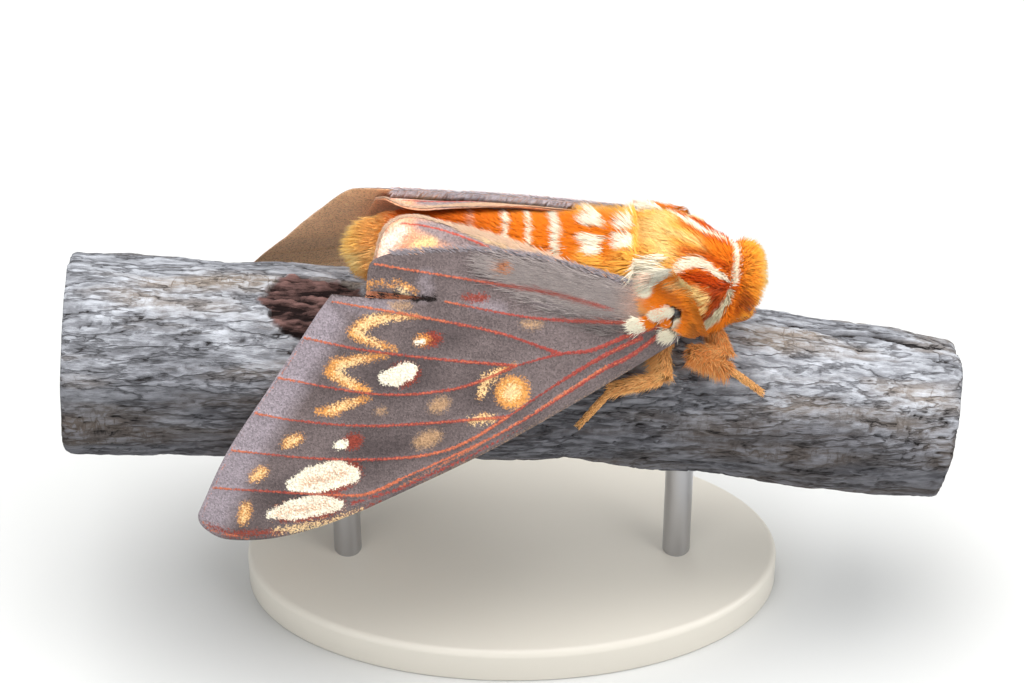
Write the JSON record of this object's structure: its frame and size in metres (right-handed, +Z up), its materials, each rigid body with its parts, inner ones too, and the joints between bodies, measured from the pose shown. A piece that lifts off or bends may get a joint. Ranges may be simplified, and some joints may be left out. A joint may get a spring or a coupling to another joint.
{
  "type": "citheronia bellavista moth model on a perch and stand",
  "caption": "Still life-size Citheronia bellavista moth resting with roofed wings on a short cut length of branch, held by two rods over a flat oval base.",
  "frame": {"origin": "middle of the stand base's flat underside", "axes": "+X along the branch towards the moth's head, +Z up, +Y to the moth's left"},
  "size_m": [0.0936, 0.0354, 0.0551],
  "materials": {
    "coat": "dense soft orange hair with cream patches",
    "wing": "matt grey-brown scales with red veins and cream spots",
    "eye": "smooth dark eye",
    "feeler": "fine tan-orange comb",
    "bark": "weathered grey bark with fissures",
    "base": "pale satin lacquer",
    "rod": "fine brushed steel"
  },
  "bodies": {
    "root": {"head": "coat", "thorax": "coat", "abdomen": "coat", "eye_right": "eye", "eye_left": "eye", "antenna_right": "feeler", "antenna_left": "feeler", "forewing_right": "wing", "forewing_left": "wing", "hindwing_right": "wing", "hindwing_left": "wing", "leg_front_right": "coat", "leg_front_left": "coat", "leg_middle_right": "coat", "leg_middle_left": "coat", "leg_hind_right": "coat", "leg_hind_left": "coat", "perch_branch": "bark", "stand_base": "base", "stand_rod_front": "rod", "stand_rod_rear": "rod"}
  },
  "joints": []
}
